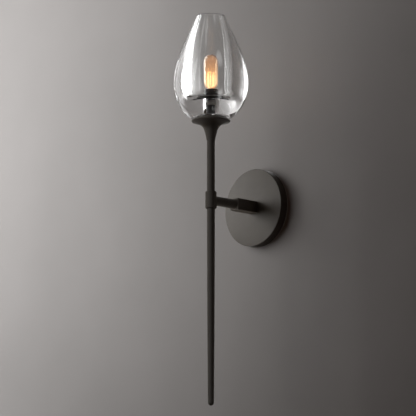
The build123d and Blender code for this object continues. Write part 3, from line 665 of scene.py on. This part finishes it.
def one_minus(tree, source):
    """What is left of 1 when a value is taken off."""
    rest = tree.nodes.new("ShaderNodeMath")
    rest.operation = "SUBTRACT"
    rest.inputs[0].default_value = 1.0
    tree.links.new(source, rest.inputs[1])
    return rest.outputs["Value"]


def clear_from_behind(tree):
    """Lets the eye through a sheet of the stage from behind, and light from both sides."""
    sides = tree.nodes.new("ShaderNodeNewGeometry")
    path = tree.nodes.new("ShaderNodeLightPath")
    clear = tree.nodes.new("ShaderNodeMath")
    clear.operation = "MAXIMUM"
    tree.links.new(sides.outputs["Backfacing"], clear.inputs[0])
    tree.links.new(path.outputs["Is Shadow Ray"], clear.inputs[1])
    solid = one_minus(tree, clear.outputs["Value"])
    tree.links.new(solid, tree.nodes["Principled BSDF"].inputs["Alpha"])


def square(reach):
    """The corners of a square round the middle, in the order of a face."""
    return [(-reach, -reach), (reach, -reach), (reach, reach), (-reach, reach)]


def add_sheet(name, corners, material):
    """A flat sheet of the stage."""
    mesh = bpy.data.meshes.new(name)
    mesh.from_pydata(corners, [], [(0, 1, 2, 3)])
    mesh.materials.append(material)
    sheet = bpy.data.objects.new(name, mesh)
    bpy.context.scene.collection.objects.link(sheet)
    return sheet


def make_wall():
    """The grey wall behind the light. Only the glass shows its sheen."""
    material, tree, shader = new_material("wall_plaster")
    mottle = add_group(tree, MOTTLE, {"Scale": WALL_MOTTLE_SCALE})
    plaster = ramp(tree, mottle.outputs["Slow"], zip(NOISE_SPREAD, (WALL_DARK, WALL_LIGHT)))
    tree.links.new(plaster, shader.inputs["Base Color"])
    shader.inputs["Roughness"].default_value = WALL_ROUGHNESS
    shader.inputs["Specular IOR Level"].default_value = 0.0
    shader.inputs["Coat Roughness"].default_value = WALL_SHEEN_ROUGHNESS
    slant = tree.nodes.new("ShaderNodeLayerWeight")
    slant.inputs["Blend"].default_value = EVEN_SLANT
    sheen = remap(tree, slant.outputs["Facing"], WALL_SHEEN_SLANT, (0.0, 1.0))
    path = tree.nodes.new("ShaderNodeLightPath")
    tree.links.new(one_minus(tree, path.outputs["Is Camera Ray"]), sheen.inputs["To Max"])
    tree.links.new(sheen.outputs["Result"], shader.inputs["Coat Weight"])
    clear_from_behind(tree)
    corners = [(x, WALL_GAP, z) for x, z in square(WALL_REACH)]
    wall = add_sheet("wall", corners, material)


def make_floor():
    """The pale floor, out of the photograph's frame, with a light of its own."""
    material = mottled("pale_floor", (0.7, 0.69, 0.67), (0.76, 0.75, 0.73), (0.6, 0.7), 0.0,
                       scale=FLOOR_MOTTLE_SCALE)
    clear_from_behind(material.node_tree)
    corners = [(x, y, FLOOR_HEIGHT) for x, y in square(FLOOR_REACH)]
    floor = add_sheet("floor", corners, material)
    floor.visible_diffuse = False
    floor.visible_glossy = False
    floor.visible_transmission = False
    sun = bpy.data.objects.new("floor_light", bpy.data.lights.new("floor_light", "SUN"))
    sun.data.energy = FLOOR_LIGHT
    bpy.context.scene.collection.objects.link(sun)
    light_only(sun, "pale_floor", [floor])


def make_world():
    """A dark room, with a pale backdrop where the camera looks past the stage."""
    world = bpy.data.worlds.new("studio")
    world.use_nodes = True
    tree = world.node_tree
    room = tree.nodes["Background"]
    room.inputs["Color"].default_value = (*ROOM_COLOUR, 1)
    backdrop = tree.nodes.new("ShaderNodeBackground")
    backdrop.inputs["Color"].default_value = (*BACKDROP_COLOUR, 1)
    path = tree.nodes.new("ShaderNodeLightPath")
    seen = tree.nodes.new("ShaderNodeMixShader")
    tree.links.new(path.outputs["Is Camera Ray"], seen.inputs["Fac"])
    tree.links.new(room.outputs[0], seen.inputs[1])
    tree.links.new(backdrop.outputs[0], seen.inputs[2])
    tree.links.new(seen.outputs[0], tree.nodes["World Output"].inputs["Surface"])
    bpy.context.scene.world = world
    bpy.context.scene.view_settings.view_transform = "Standard"


def make_camera():
    """The photograph's view, with the stem and the arm at their pixels."""
    azimuth = math.radians(VIEW_AZIMUTH)
    elevation = math.radians(VIEW_ELEVATION)
    back = Vector((math.sin(azimuth) * math.cos(elevation), -math.cos(azimuth) * math.cos(elevation),
                   math.sin(elevation)))
    right = Vector((math.cos(azimuth), math.sin(azimuth), 0))
    up = back.cross(right)
    aim = STEM_AXIS.copy()
    aim -= right * (STEM_PIXEL_X - PHOTO_SIDE / 2) * PHOTO_SCALE * MM
    aim -= up * (PHOTO_SIDE / 2 - ARM_PIXEL_Y) * PHOTO_SCALE * MM
    camera = bpy.data.objects.new("camera", bpy.data.cameras.new("camera"))
    camera.data.lens = camera.data.sensor_width * VIEW_DISTANCE / (PHOTO_SIDE * PHOTO_SCALE)
    camera.data.clip_end = VIEW_REACH * MM
    camera.location = aim + back * VIEW_DISTANCE * MM
    camera.rotation_mode = "QUATERNION"
    camera.rotation_quaternion = (-back).to_track_quat("-Z", "Y")
    bpy.context.scene.collection.objects.link(camera)
    bpy.context.scene.camera = camera


dress_nodes()
make_crystal()
make_washer()
make_bulb()
make_wall()
make_floor()
make_world()
make_panels()
make_lights()
make_camera()
